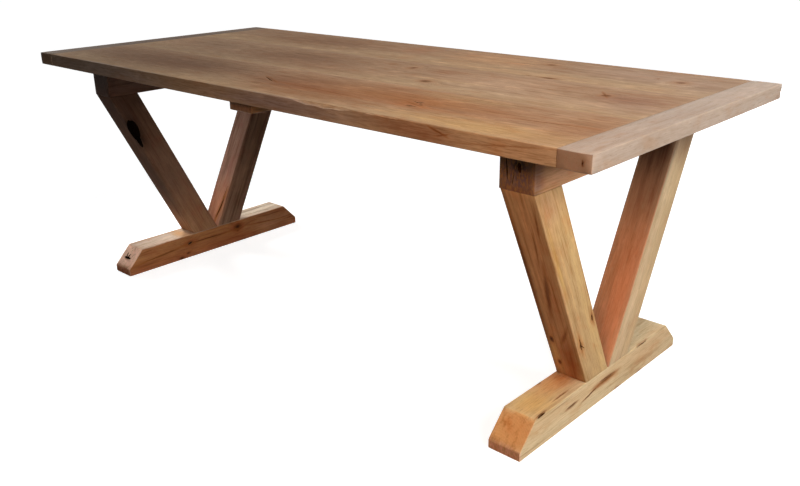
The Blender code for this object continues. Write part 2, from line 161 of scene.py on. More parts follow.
def timber_wood(
    name, log_at, log_turn, pith, sap, tones, seed,
    knots=(), veins=(), stains_and_painted_light=(), figure=1.0, streak=0.6, oil=0.06, end_tone="#a27c5a",
    slant_tone_and_highlight=None,
):
    """Oiled hardwood, planed and sanded: growth layers round a pith, streaks, knots and gum veins.

    The eye gets long streaks that follow the growth layers, waver and bend round knots, a darker
    heart and a paler sapwood, mottling, short open pores and a dull oil finish. log_at and log_turn
    lay the log's own length along the timber; pith is the log's centre across it; sap is where
    heartwood turns to sapwood, as distances from the pith. Knots, veins and colour patches are placed
    in log coordinates, as centre and half sizes in metres; the patches are stained wood and painted
    light and shade alike. A knot then has how far its dark middle is faded, a vein its slope across,
    its rise and its weight, and a patch its colour and weight. figure, streak and oil are the strength
    of the rings and flecks, the streaks and the sheen; end_tone deepens the end grain, and a tone given
    for a face sawn aslant colours such a face, which on the left foot is a painted highlight.
    """
    material = new_material(name)
    tree = material.node_tree
    heart, sapwood, dark, pale, red = [linear(tone) for tone in tones]
    place = add(tree, "TexCoord", out="Object")
    log = add(
        tree, "Mapping", {"Vector": place, "Location": log_at, "Rotation": log_turn}, vector_type="TEXTURE"
    )
    noise = {}
    for pattern, (cells, own_seed, detail, rough) in LOG_PATTERNS.items():
        stretched = add(tree, "VectorMath", {0: log, 1: cells}, operation="MULTIPLY")
        noise[pattern] = add(
            tree, "TexNoise",
            {"Vector": stretched, "W": seed + own_seed, "Scale": 1.0, "Detail": detail, "Roughness": rough},
            "Fac", noise_dimensions="4D",
        )
    # The pith wanders up to 14 mm to each side
    swing = PITH_SWING * figure
    shift = add(
        tree, "VectorMath",
        {
            0: noise["waver"].node.outputs["Color"],
            1: (0.0, swing, swing),
            2: (0.0, -swing / 2 - pith[0], -swing / 2 - pith[1]),
        },
        operation="MULTIPLY_ADD",
    )
    from_pith = add(tree, "VectorMath", {0: log, 1: shift}, operation="ADD")
    cross = add(tree, "VectorMath", {0: from_pith, 1: (0.0, 1.0, 1.0)}, operation="MULTIPLY")
    layer = add(tree, "VectorMath", {0: cross}, "Value", operation="LENGTH")
    parts = add(tree, "SeparateXYZ", {"Vector": from_pith}).node.outputs
    bearing = add(tree, "Math", {0: parts["Y"], 1: parts["Z"]}, operation="ARCTAN2")

    # How far off each knot, colour patch and vein is, in its own half sizes, with a ragged outline
    rag = add(
        tree, "VectorMath",
        {0: noise["rag"].node.outputs["Color"], 1: RAG_SWING, 2: -RAG_SWING / 2},
        operation="MULTIPLY_ADD",
    )
    ragged = add(tree, "VectorMath", {0: log, 1: rag}, operation="ADD")
    turns = {mark: (0.0, 0.0, 0.0) for mark in (*knots, *stains_and_painted_light)}
    turns.update({vein: (0.0, -vein[7], vein[6]) for vein in veins})
    reach = {}
    for mark, turn in turns.items():
        local = add(
            tree, "Mapping",
            {"Vector": ragged, "Location": mark[:3], "Rotation": turn, "Scale": mark[3:6]},
            vector_type="TEXTURE",
        )
        reach[mark] = add(tree, "VectorMath", {0: local}, "Value", operation="LENGTH")

    # Growth layers bulge round each knot
    nearest = None
    for knot in knots:
        bulge = add(
            tree, "MapRange",
            {"Value": reach[knot], "From Min": 0.3, "From Max": 3.4, "To Min": 1.6 * knot[4], "To Max": 0.0},
            interpolation_type="SMOOTHSTEP",
        )
        layer = add(tree, "Math", {0: layer, 1: bulge}, operation="ADD")
        faded = add(tree, "Math", {0: reach[knot], 1: knot[6]}, operation="ADD")
        if nearest is None:
            nearest = faded
        else:
            nearest = add(tree, "Math", {0: nearest, 1: faded}, operation="MINIMUM")
    layers = add(tree, "CombineXYZ", {"X": parts["X"], "Y": layer, "Z": bearing})
    for pattern, (cells, own_seed, detail, rough) in LAYER_PATTERNS.items():
        stretched = add(tree, "VectorMath", {0: layers, 1: cells}, operation="MULTIPLY")
        noise[pattern] = add(
            tree, "TexNoise",
            {"Vector": stretched, "W": seed + own_seed, "Scale": 1.0, "Detail": detail, "Roughness": rough},
            "Fac", noise_dimensions="4D",
        )
    bands, streaks, mottle = noise["bands"], noise["streaks"], noise["mottle"]

    # Rings are dark at the late wood
    ring_count = add(tree, "Math", {0: layer, 1: 1 / RING_WIDTH, 2: streaks}, operation="MULTIPLY_ADD")
    ring_part = add(tree, "Math", {0: ring_count}, operation="FRACT")
    rings = add(
        tree, "MapRange", {"Value": ring_part, "From Min": 0.35, "From Max": 0.95},
        interpolation_type="SMOOTHSTEP",
    )
    # How far a face cuts across the grain
    normal = add(tree, "NewGeometry", out="Normal")
    along = Euler(log_turn, "XYZ").to_matrix() @ Vector((1.0, 0.0, 0.0))
    facing = add(tree, "VectorMath", {0: normal, 1: along}, "Value", operation="DOT_PRODUCT")
    end_on = add(tree, "Math", {0: facing}, operation="ABSOLUTE")
    # Flecks fade on a face that cuts across the grain
    long_part = add(
        tree, "MapRange",
        {"Value": end_on, "From Min": 0.2, "From Max": 0.7, "To Min": 1.0, "To Max": 0.35},
    )
    fibres = add(tree, "Math", {0: noise["fibres"], 1: long_part}, operation="MULTIPLY")
    pores = add(
        tree, "MapRange", {"Value": noise["pores"], "From Min": 0.62, "From Max": 0.74},
        interpolation_type="SMOOTHSTEP",
    )

    # Heartwood and sapwood
    band_swing = add(tree, "Math", {0: bands, 1: SAP_SWING, 2: layer}, operation="MULTIPLY_ADD")
    sap_part = add(
        tree, "MapRange",
        {"Value": band_swing, "From Min": sap[0] + SAP_SWING / 2, "From Max": sap[1] + SAP_SWING / 2},
        interpolation_type="SMOOTHSTEP",
    )
    colour = add(tree, "Mix", {0: sap_part, 6: heart, 7: sapwood}, 2, data_type="RGBA")
    # Each step lays one thing the eye sees over the wood: its mask, its range, its weight, its colour.
    # Colour patches come first, stained wood and painted light and shade alike; streaks, rings,
    # mottling and flecks then deepen or lighten whatever is there.
    deeper, redder = [
        tuple(tone / base for tone, base in zip(streaked, heart)) for streaked in (dark, red)
    ]
    lift = sum(pale[:3]) / sum(heart[:3])
    lighter = (lift, lift, lift, 1.0)
    steps = []
    # A face sawn aslant shows a tone of its own, if one is given; on the left foot it is a painted highlight
    if slant_tone_and_highlight:
        steps.append((end_on, 0.35, 0.65, 0.9, linear(slant_tone_and_highlight), "MIX"))
    # Each colour patch, whether stained wood or painted light and shade, fades unevenly along the streaks
    for colour_patch in stains_and_painted_light:
        faded = add(tree, "Math", {0: streaks, 1: reach[colour_patch]}, operation="ADD")
        steps.append((faded, 1.75, 0.55, colour_patch[7], linear(colour_patch[6]), "MIX"))
    steps.append((bands, 0.48, 0.68, 0.75 * streak, redder, "MULTIPLY"))
    steps.append((streaks, 0.49, 0.66, 1.3 * streak, deeper, "MULTIPLY"))
    steps.append((streaks, 0.47, 0.32, streak, lighter, "MULTIPLY"))
    steps.append((rings, 0.0, 1.0, 0.16 * figure, deeper, "MULTIPLY"))
    steps.append((mottle, 0.50, 0.70, 0.45, redder, "MULTIPLY"))
    steps.append((mottle, 0.50, 0.30, 0.40, lighter, "MULTIPLY"))
    if nearest is not None:
        steps.append((nearest, 2.6, 0.9, 0.6, red, "MIX"))
        steps.append((nearest, 1.40, 0.70, 0.75, linear(KNOT_RIM), "MIX"))
        steps.append((nearest, 0.75, 0.25, 0.85, linear(KNOT_HEART), "MIX"))
    for vein in veins:
        steps.append((reach[vein], 1.60, 0.70, 0.85 * vein[8], linear(GUM_RIM), "MIX"))
        steps.append((reach[vein], 0.90, 0.30, 0.80 * vein[8], linear(GUM_HEART), "MIX"))
    steps.append((fibres, 0.42, 0.66, 0.50 * figure, deeper, "MULTIPLY"))
    steps.append((pores, 0.0, 1.0, 0.35, linear(PORE_TONE), "MIX"))
    for mask, start, end, weight, tone, way in steps:
        part = add(
            tree, "MapRange",
            {"Value": mask, "From Min": start, "From Max": end, "To Min": 0.0, "To Max": weight},
            interpolation_type="SMOOTHSTEP",
        )
        colour = add(tree, "Mix", {0: part, 6: colour, 7: tone}, 2, data_type="RGBA", blend_type=way)
    # End grain drinks more oil and goes darker, with ray flecks
    end_part = add(tree, "MapRange", {"Value": end_on, "From Min": 0.75, "From Max": 0.97, "To Max": 0.6})
    colour = add(
        tree, "Mix", {0: end_part, 6: colour, 7: linear(end_tone)}, 2, data_type="RGBA", blend_type="MULTIPLY"
    )
    rays = add(
        tree, "MapRange", {"Value": noise["rays"], "From Min": 0.44, "From Max": 0.60},
        interpolation_type="SMOOTHSTEP",
    )
    ray_part = add(tree, "Math", {0: rays, 1: end_part}, operation="MULTIPLY")
    colour = add(tree, "Mix", {0: ray_part, 6: colour, 7: dark}, 2, data_type="RGBA")
    # Handling rubs the arrises a little paler
    arris = add(tree, "Attribute", out="Fac", attribute_name="arris")
    arris_part = add(tree, "Math", {0: arris, 1: 0.08}, operation="MULTIPLY")
    colour = add(tree, "Mix", {0: arris_part, 6: colour, 7: pale}, 2, data_type="RGBA")

    open_grain = add(tree, "Math", {0: fibres, 1: 0.35, 2: pores}, operation="MULTIPLY_ADD")
    roughness = add(
        tree, "MapRange",
        {"Value": open_grain, "From Min": 0.1, "From Max": 1.2, "To Min": 0.46, "To Max": 0.66},
    )
    # Pores and flecks are shallow furrows about 0.1 mm deep
    furrows = add(tree, "Bump", {"Height": open_grain, "Strength": 0.35, "Distance": 0.00012}, invert=True)
    shader = add(
        tree, "BsdfPrincipled",
        {
            "Base Color": colour, "Roughness": roughness, "Normal": furrows,
            "IOR": 1.48, "Specular IOR Level": oil,
        },
    )
    add(tree, "OutputMaterial", {"Surface": shader})
    return material


def torn_wood(name, deep, shallow):
    """Torn wood inside a split or a knot hole: dark, dull and fibrous, between two brown tones."""
    material = new_material(name)
    tree = material.node_tree
    place = add(tree, "TexCoord", out="Object")
    # Torn fibres about 3 mm across
    fibres = add(
        tree, "TexNoise", {"Vector": place, "Scale": 330.0, "Detail": 3.0, "Roughness": 0.6}, "Fac"
    )
    colour = add(tree, "Mix", {0: fibres, 6: linear(deep), 7: linear(shallow)}, 2, data_type="RGBA")
    furrows = add(tree, "Bump", {"Height": fibres, "Strength": 0.6, "Distance": 0.0008})
    shader = add(
        tree, "BsdfPrincipled",
        {"Base Color": colour, "Normal": furrows, "Roughness": 0.9, "Specular IOR Level": 0.0},
    )
    add(tree, "OutputMaterial", {"Surface": shader})
    return material


def zinc_steel():
    """Bright zinc-plated steel, as on new bolts and screws: pale, slightly blotched, half glossy."""
    material = new_material("zinc_plated_steel")
    tree = material.node_tree
    place = add(tree, "TexCoord", out="Object")
    # Plating blooms in blotches about 4 mm across
    blotches = add(
        tree, "TexNoise", {"Vector": place, "Scale": 250.0, "Detail": 4.0, "Roughness": 0.6}, "Fac"
    )
    colour = add(tree, "Mix", {0: blotches, 6: linear("#a9acad"), 7: linear("#cfd0cb")}, 2, data_type="RGBA")
    roughness = add(
        tree, "MapRange",
        {"Value": blotches, "From Min": 0.3, "From Max": 0.7, "To Min": 0.28, "To Max": 0.44},
    )
    shader = add(tree, "BsdfPrincipled", {"Base Color": colour, "Roughness": roughness, "Metallic": 1.0})
    add(tree, "OutputMaterial", {"Surface": shader})
    return material


SPLIT_WOOD = torn_wood("torn_split_wood", "#2c1a0f", "#5e3a20")
HOLE_WOOD = torn_wood("rotted_knot_wood", "#0b0706", "#1c120c")
ZINC_STEEL = zinc_steel()


def leave_edit():
    """Go back to object mode."""
    if bpy.context.mode != "OBJECT":
        bpy.ops.object.mode_set(mode="OBJECT")


def deselect():
    """Leave edit mode and select nothing."""
    leave_edit()
    bpy.ops.object.select_all(action="DESELECT")


def hold(piece):
    """Make one piece the selected and active one."""
    deselect()
    piece.select_set(True)
    bpy.context.view_layer.objects.active = piece


def pick(piece, kind, test):
    """Go into edit mode with only those corners, edges or faces selected that pass a test."""
    hold(piece)
    bpy.ops.object.mode_set(mode="EDIT")
    bpy.ops.mesh.select_mode(type=kind)
    bpy.ops.mesh.select_all(action="DESELECT")
    shape = bmesh.from_edit_mesh(piece.data)
    items = {"VERT": shape.verts, "EDGE": shape.edges, "FACE": shape.faces}[kind]
    for item in items:
        if test(item):
            item.select_set(True)
    bmesh.update_edit_mesh(piece.data)


def run(edge):
    """The vector from one end of an edge to the other."""
    return edge.verts[1].co - edge.verts[0].co


def longer(axis, least):
    """A test for edges that reach further than a length along an axis."""
    return lambda edge: abs(getattr(run(edge), axis)) > least


def is_sharp(edge):
    """Whether two faces meet at an arris here."""
    return edge.calc_face_angle(0.0) > ARRIS_ANGLE


def blank(name, low, high, wood=None):
    """A squared blank between two corners, of a wood if it isn't a tool."""
    deselect()
    bpy.ops.mesh.primitive_cube_add(size=1.0, location=(low + high) / 2, scale=high - low)
    bpy.ops.object.transform_apply(location=True, rotation=True, scale=True)
    piece = bpy.context.object
    piece.name = name
    piece.data.name = name
    if wood:
        piece.data.materials.append(wood)
    return piece


def divide(piece, test, cells):
    """Cut the chosen edges into equal cells, with lines across the faces between them."""
    pick(piece, "EDGE", test)
    bpy.ops.mesh.subdivide(number_cuts=cells - 1)
    leave_edit()


def slice_at(piece, spot, normal):
    """Cut a line round a piece where a plane meets it."""
    pick(piece, "FACE", lambda f: True)
    bpy.ops.mesh.bisect(plane_co=spot, plane_no=normal)
    leave_edit()


def ease(piece, test, width, segments=3):
    """Round off the chosen arrises."""
    pick(piece, "EDGE", test)
    bpy.ops.mesh.bevel(offset=width, offset_type="OFFSET", segments=segments, profile=0.5, affect="EDGES")
    leave_edit()


def cloud(name, size):
    """A soft cloud pattern with lumps of a real size, for displacing."""
    texture = bpy.data.textures.new(name, "CLOUDS")
    texture.noise_scale = size
    texture.noise_depth = 2
    texture.cloud_type = "COLOR"
    return texture


# Planing leaves waves of about 110 mm, handling wears an arris in lumps of about 30 mm,
# and a split tears in lumps of about 18 mm
PLANING = cloud("planing_waver", 0.11)
HANDLING = cloud("arris_wear", 0.03)
TEARING = cloud("torn_edge", 0.018)


def apply(piece, kind, **settings):
    """Put a modifier on a piece and apply it."""
    hold(piece)
    modifier = piece.modifiers.new(kind.lower(), kind)
    for name, value in settings.items():
        setattr(modifier, name, value)
    bpy.ops.object.modifier_apply(modifier=modifier.name)


def flat_normals(piece):
    """The directions of a timber's broad faces, each at least a fiftieth as large as the broadest."""
    found = {}
    for face in piece.data.polygons:
        key = tuple(round(c, 1) for c in face.normal)
        area, total = found.get(key, (0.0, Vector()))
        found[key] = (area + face.area, total + face.normal * face.area)
    most = max(area for area, _ in found.values())
    return [total.normalized() for area, total in found.values() if area > 0.02 * most]


def on_arris(corner, flats):
    """Whether a corner lies off a timber's broad faces."""
    return max(corner.normal.dot(n) for n in flats) < OFF_FLAT


def plane_by_hand(piece, is_tight=None):
    """Give flat faces a slight waver and all but the tight arrises uneven wear, inwards only."""
    apply(
        piece, "DISPLACE", texture=PLANING, texture_coords="LOCAL", strength=PLANING_DEPTH, mid_level=1.0
    )
    piece.data.update()
    flats = flat_normals(piece)
    group = piece.vertex_groups.new(name="worn")
    worn = [
        v.index for v in piece.data.vertices
        if on_arris(v, flats) and not (is_tight and is_tight(v.co))
    ]
    group.add(worn, 1.0, "REPLACE")
    apply(
        piece, "DISPLACE", texture=HANDLING, texture_coords="LOCAL", strength=WEAR_DEPTH, mid_level=1.0,
        vertex_group="worn",
    )
    piece.vertex_groups.clear()


def cut(piece, tools):
    """Cut several tools out of a piece in one go; a cut face is bare wood unless its tool says else."""
    if not tools:
        return
    deselect()
    for tool in tools:
        if not tool.data.materials:
            tool.data.materials.append(piece.data.materials[0])
        tool.select_set(True)
    bpy.context.view_layer.objects.active = tools[0]
    if len(tools) > 1:
        bpy.ops.object.join()
    tool = bpy.context.view_layer.objects.active
    apply(piece, "BOOLEAN", object=tool, operation="DIFFERENCE", solver="EXACT", material_mode="TRANSFER")
    bpy.data.objects.remove(tool)


def ragged_lens(log, spot, run_on, face, length, width, depth, wander):
    """A long ragged lens at a spot in log coordinates, drawn out along a run and sunk into a face."""
    deselect()
    bpy.ops.mesh.primitive_uv_sphere_add(segments=12, ring_count=36, radius=1.0)
    tool = bpy.context.object
    # The sphere's poles go to the lens's two ends
    bpy.ops.transform.rotate(value=math.pi / 2, orient_axis="Y", center_override=(0.0, 0.0, 0.0))
    bpy.ops.object.transform_apply(location=True, rotation=True, scale=True)
    bpy.ops.transform.resize(value=(length / 2, width / 2, depth))
    bpy.ops.object.transform_apply(location=True, rotation=True, scale=True)
    ahead = Vector(run_on).normalized()
    across = Vector(face).cross(ahead).normalized()
    out = ahead.cross(across)
    turn = Matrix((ahead, across, out)).transposed().to_4x4()
    log_place = Matrix.Translation(log[0]) @ Euler(log[1], "XYZ").to_matrix().to_4x4()
    tool.data.transform(log_place @ Matrix.Translation(spot) @ turn)
    apply(
        tool, "DISPLACE", texture=TEARING, texture_coords="LOCAL", direction="RGB_TO_XYZ", strength=wander
    )
    return tool


def split(log, spot, run_on, face, length, width, depth, inside=SPLIT_WOOD):
    """A tool that opens a drying split or a knot hole with torn wood inside."""
    tool = ragged_lens(log, spot, run_on, face, length, width, depth, SPLIT_WANDER)
    tool.data.materials.append(inside)
    return tool


def clean_cuts(piece):
    """Merge corners that a cut left on top of each other, and drop those in the middle of an edge."""
    pick(piece, "VERT", lambda v: True)
    bpy.ops.mesh.remove_doubles(threshold=SAME_SPOT)
    # Dropping some leaves a few more corners with only two edges, so it is done twice
    for _ in range(2):
        pick(piece, "VERT", lambda v: len(v.link_edges) == 2)
        bpy.ops.mesh.dissolve_verts()
    leave_edit()


def finish_timber(piece, node, splits=()):
    """Open a timber's splits, mark its arrises for wear, smooth it and put it in its node's place."""
    # Splits may overlap, so each is cut by itself
    for opening in splits:
        cut(piece, [opening])
    clean_cuts(piece)
    mesh = piece.data
    mesh.update()
    flats = flat_normals(piece)
    wear = mesh.attributes.new("arris", "FLOAT", "POINT")
    wear.data.foreach_set("value", [float(on_arris(v, flats)) for v in mesh.vertices])
    hold(piece)
    bpy.ops.object.shade_smooth_by_angle(angle=SMOOTH_ANGLE)
    deselect()
    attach(piece, "root")
    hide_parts(node)


# Log frames: a board's log runs along X, a breadboard's, rail's or foot's along Y, a tenon's along Z
ALONG_X = (0.0, 0.0, 0.0)
ALONG_Y = (0.0, 0.0, math.pi / 2)
ALONG_Z = (0.0, -math.pi / 2, 0.0)


def middle_log(node, turn):
    """A log through the middle of a node, as its centre and its turn."""
    low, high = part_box(node)
    return (low + high) / 2, turn


def mortise(node):
    """A tool that makes room for a node, with a fit on every side."""
    low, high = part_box(node)
    spare = Vector((FIT, FIT, FIT))
    return blank("mortise", low - spare, high + spare)


def hole_tool(node, radius, bottom, top):
    """A rod on a node's axis, to bore a hole between two heights."""
    low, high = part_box(node)
    spot = ((low.x + high.x) / 2, (low.y + high.y) / 2, (bottom + top) / 2)
    deselect()
    bpy.ops.mesh.primitive_cylinder_add(vertices=40, radius=radius, depth=top - bottom, location=spot)
    bpy.ops.object.transform_apply(location=True, rotation=True, scale=True)
    return bpy.context.object


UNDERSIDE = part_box("top_board_2")[0].z
TOP_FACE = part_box("top_board_2")[1].z
TOP_MIDDLE = (UNDERSIDE + TOP_FACE) / 2
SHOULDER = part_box("breadboard_right")[0].x - FIT
TRESTLES = ("trestle_left", "trestle_right")


def make_board(number, wood, splits=()):
    """One board of the top, with a tongue across each end and its grooves, slots and pilot holes."""
    node = f"top_board_{number}"
    low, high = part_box(node)
    piece = blank(
        f"board_{number}", Vector((-SHOULDER, low.y, low.z)), Vector((SHOULDER, high.y, high.z)), wood
    )
    divide(piece, longer("x", 0.5), 12)
    divide(piece, longer("x", 0.02), 11)
    divide(piece, longer("y", 0.1), 18)
    for side in (-1, 1):
        slice_at(piece, (0.0, 0.0, TOP_MIDDLE + side * TONGUE_THICKNESS / 2), (0.0, 0.0, 1.0))
    outer = {1: low.y, 2: 0.0, 3: high.y}[number]
    stop = abs(outer) - TONGUE_STOP if outer else math.inf
    if outer:
        slice_at(piece, (0.0, math.copysign(stop, outer), 0.0), (0.0, 1.0, 0.0))
    # The tongue is drawn out of the middle of each end
    for side in (-1, 1):
        pick(
            piece, "FACE",
            lambda f: f.normal.x * side > FACING
            and abs(f.calc_center_median().z - TOP_MIDDLE) < TONGUE_THICKNESS / 2
            and abs(f.calc_center_median().y) < stop,
        )
        bpy.ops.mesh.extrude_region_move(TRANSFORM_OT_translate={"value": (side * TONGUE_LENGTH, 0.0, 0.0)})
        leave_edit()

    def on_skin(edge):
        """Whether an arris lies on the board's outside and not round its tongue."""
        return is_sharp(edge) and all(
            abs(abs(v.co.z - TOP_MIDDLE) - (TOP_FACE - TOP_MIDDLE)) < TOUCH for v in edge.verts
        )

    if outer:
        ease(
            piece,
            lambda e: on_skin(e) and all(abs(v.co.y - outer) < TOUCH for v in e.verts),
            WORN_ARRIS,
        )
    ease(
        piece,
        lambda e: on_skin(e)
        and not (outer and all(abs(v.co.y - outer) < SEAM_MARGIN for v in e.verts))
        and not all(abs(v.co.x) > SHOULDER - TOUCH for v in e.verts),
        SEAM_ARRIS, 2,
    )
    plane_by_hand(piece, lambda spot: not outer or abs(spot.y - outer) > SEAM_MARGIN)
    tools = []
    for spline in ("board_spline_1", "board_spline_2"):
        spline_low, spline_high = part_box(spline)
        if spline_low.y < high.y and spline_high.y > low.y:
            tools.append(mortise(spline))
    for end in ("left", "right"):
        tools.append(hole_tool(f"breadboard_peg_{end}_{number}", PEG_HOLE_RADIUS, UNDERSIDE, TOP_FACE))
    fixings = [(f"{trestle}_bolt_{i}", BOLT_HOLE_RADIUS) for trestle in TRESTLES for i in (1, 2, 3)]
    fixings += [(f"batten_screw_{i}", SCREW_HOLE_RADIUS) for i in range(1, 7)]
    for fixing, radius in fixings:
        fixing_low, fixing_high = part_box(fixing)
        if low.y < (fixing_low.y + fixing_high.y) / 2 < high.y:
            tools.append(hole_tool(fixing, radius, UNDERSIDE - OVERRUN, fixing_high.z + FIT))
    cut(piece, tools)
    finish_timber(piece, node, splits)


def make_breadboard(end, wood):
    """A breadboard end, grooved for the boards' tongues and bored for its pegs."""
    node = f"breadboard_{end}"
    low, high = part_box(node)
    piece = blank(f"breadboard_end_{end}", low, high, wood)
    divide(piece, longer("y", 0.5), 52)
    divide(piece, longer("x", 0.05), 5)
    divide(piece, longer("z", 0.02), 3)
    side = 1 if end == "right" else -1
    inner = low.x if end == "right" else high.x

    def at_seam(edge):
        """Whether an edge lies on the face that meets the boards."""
        return all(abs(v.co.x - inner) < TOUCH for v in edge.verts)

    ease(piece, lambda e: is_sharp(e) and not at_seam(e), WORN_ARRIS)
    ease(piece, lambda e: is_sharp(e) and at_seam(e), SEAM_ARRIS, 2)
    plane_by_hand(piece, lambda spot: abs(spot.x - inner) < SEAM_MARGIN)
    groove_x = sorted((side * (SHOULDER - OVERRUN), side * (SHOULDER + TONGUE_LENGTH + FIT)))
    half_width = high.y - TONGUE_STOP + FIT
    half_height = TONGUE_THICKNESS / 2 + FIT
    groove = blank(
        "groove",
        Vector((groove_x[0], -half_width, TOP_MIDDLE - half_height)),
        Vector((groove_x[1], half_width, TOP_MIDDLE + half_height)),
    )
    cut(piece, [groove])
    holes = []
    for number in (1, 2, 3):
        peg = f"breadboard_peg_{end}_{number}"
        holes.append(hole_tool(peg, PEG_HOLE_RADIUS, UNDERSIDE - OVERRUN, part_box(peg)[1].z + FIT))
    cut(piece, holes)
    finish_timber(piece, node)


def make_batten(wood):
    """The batten under the middle of the top, with sinks for its screws."""
    low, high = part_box("centre_batten")
    piece = blank("batten", low, high, wood)
    divide(piece, longer("y", 0.5), 50)
    divide(piece, longer("x", 0.05), 6)
    divide(piece, longer("z", 0.02), 2)
    ease(piece, is_sharp, BATTEN_ARRIS)
    plane_by_hand(piece)
    sinks = []
    holes = []
    for number in range(1, 7):
        screw = f"batten_screw_{number}"
        sinks.append(hole_tool(screw, SCREW_SINK_RADIUS, low.z - OVERRUN, low.z + SCREW_SINK_DEPTH))
        holes.append(hole_tool(screw, SCREW_HOLE_RADIUS, low.z - OVERRUN, high.z + OVERRUN))
    cut(piece, sinks)
    cut(piece, holes)
    finish_timber(piece, "centre_batten")


def make_rail(trestle, wood, splits=()):
    """A trestle's top rail, mortised for the legs and counterbored for the bolts to the top."""
    node = f"{trestle}_rail"
    low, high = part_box(node)
    piece = blank(f"{trestle}_top_rail", low, high, wood)
    divide(piece, longer("y", 0.5), 46)
    divide(piece, longer("x", 0.05), 6)
    divide(piece, longer("z", 0.05), 6)
    ease(piece, is_sharp, WORN_ARRIS)
    plane_by_hand(piece)
    tools = [mortise(f"{trestle}_tenon_{leg}_rail") for leg in ("front", "back")]
    holes = []
    for number in (1, 2, 3):
        washer = f"{trestle}_washer_{number}"
        tools.append(hole_tool(washer, COUNTERBORE_RADIUS, low.z - OVERRUN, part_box(washer)[1].z + FIT))
        holes.append(hole_tool(washer, BOLT_HOLE_RADIUS, low.z - OVERRUN, high.z + OVERRUN))
    cut(piece, tools)
    cut(piece, holes)
    finish_timber(piece, node, splits)


def lean_of(trestle, leg):
    """A leg's box, its lean from upright and the length of its level cut."""
    low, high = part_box(f"{trestle}_leg_{leg}")
    reach = high.y - low.y
    rise = high.z - low.z
    lean = math.acos(LEG_WIDTH / math.hypot(reach, rise)) - math.atan2(rise, reach)
    return low, high, lean, LEG_WIDTH / math.cos(lean)


def leg_log(trestle, leg):
    """Where a leg's log starts, at the middle of its foot end, and how it is turned up the leg."""
    low, high, lean, level_cut = lean_of(trestle, leg)
    side = -1 if leg == "front" else 1
    foot_y = high.y - level_cut / 2 if leg == "front" else low.y + level_cut / 2
    at = Vector(((low.x + high.x) / 2, foot_y, low.z))
    return at, (0.0, lean - math.pi / 2, side * math.pi / 2)


def make_leg(trestle, leg, wood, splits=()):
    """A leaning leg of the V, cut level at both ends and mortised there."""
    node = f"{trestle}_leg_{leg}"
    low, high, lean, level_cut = lean_of(trestle, leg)
    side = -1 if leg == "front" else 1
    near = high.y if leg == "front" else low.y
    block_y = sorted((near, near + side * level_cut))
    piece = blank(
        f"{trestle}_{leg}_leg",
        Vector((low.x, block_y[0], low.z)), Vector((high.x, block_y[1], high.z)), wood,
    )
    # The upright block's upper end is slid over until it leans
    pick(piece, "VERT", lambda v: v.co.z > high.z - TOUCH)
    bpy.ops.transform.translate(value=(0.0, side * (high.y - low.y - level_cut), 0.0))
    leave_edit()
    divide(piece, longer("z", 0.3), 38)
    divide(piece, longer("x", 0.05), 6)
    divide(piece, longer("y", 0.05), 6)

    def at_end(edge):
        """Whether an edge lies on a level cut."""
        return all(min(abs(v.co.z - low.z), abs(v.co.z - high.z)) < TOUCH for v in edge.verts)

    ease(piece, lambda e: is_sharp(e) and not at_end(e), WORN_ARRIS)
    ease(piece, lambda e: is_sharp(e) and at_end(e), JOINT_ARRIS, 2)
    plane_by_hand(piece, lambda spot: min(spot.z - low.z, high.z - spot.z) < JOINT_MARGIN)
    cut(piece, [mortise(f"{trestle}_tenon_{leg}_{end}") for end in ("foot", "rail")])
    finish_timber(piece, node, splits)


def make_foot(trestle, wood, splits=()):
    """A trestle's foot: a long chamfer down to a low toe at each end, mortised for the legs."""
    node = f"{trestle}_foot"
    low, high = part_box(node)
    piece = blank(f"{trestle}_ground_foot", low, high, wood)
    for side in (-1, 1):
        slice_at(piece, (0.0, side * (high.y - CHAMFER_RUN), 0.0), (0.0, 1.0, 0.0))
    pick(piece, "VERT", lambda v: v.co.z > high.z - TOUCH and abs(v.co.y) > high.y - TOUCH)
    bpy.ops.transform.translate(value=(0.0, 0.0, TOE_HEIGHT - (high.z - low.z)))
    leave_edit()
    divide(piece, longer("y", 0.3), 42)
    divide(piece, lambda e: 0.04 < abs(run(e).y) < 0.08, 5)
    divide(piece, longer("x", 0.05), 6)
    divide(piece, lambda e: abs(run(e).z) > 0.02 and abs(run(e).y) < 0.001, 6)
    ease(piece, is_sharp, WORN_ARRIS)
    plane_by_hand(piece)
    cut(piece, [mortise(f"{trestle}_tenon_{leg}_foot") for leg in ("front", "back")])
    finish_timber(piece, node, splits)


# Tones of each wood, as heart, sapwood, dark streak, pale streak and red
BOARD_TONES = ("#af8f71", "#ba9d7c", "#876547", "#ccb18e", "#ab7a55")
BREADBOARD_TONES = ("#ae9c8e", "#b6a698", "#957d66", "#c6b29d", "#ab8b71")
GOLDEN_TONES = ("#be9e71", "#cbab78", "#966c3e", "#d2b580", "#b98150")
BROWN_TONES = ("#866753", "#8e705a", "#583f32", "#9a7c65", "#825645")
STRAW_TONES = ("#dac49c", "#dcc8a0", "#a88152", "#e2cea2", "#cb9a69")
BUFF_TONES = ("#c9ac84", "#d2b893", "#a08058", "#dac29e", "#be9068")
RUSSET_TONES = ("#a5633f", "#ae744b", "#683820", "#b27c54", "#97512f")
PLAIN_TONES = ("#a9825c", "#b8966f", "#7c5a3c", "#c7a983", "#9c6a48")

# Distances from the middle of a log to a board's top and front, to a foot's and a rail's sides, a
# foot's top and a rail's front end, and to a leg's edges and cheeks
FACE = 0.019
FRONT = -0.152
SIDE = 0.045
FOOT_TOP = 0.043
RAIL_FRONT = -0.37
EDGE = LEG_WIDTH / 2
CHEEK = 0.0435

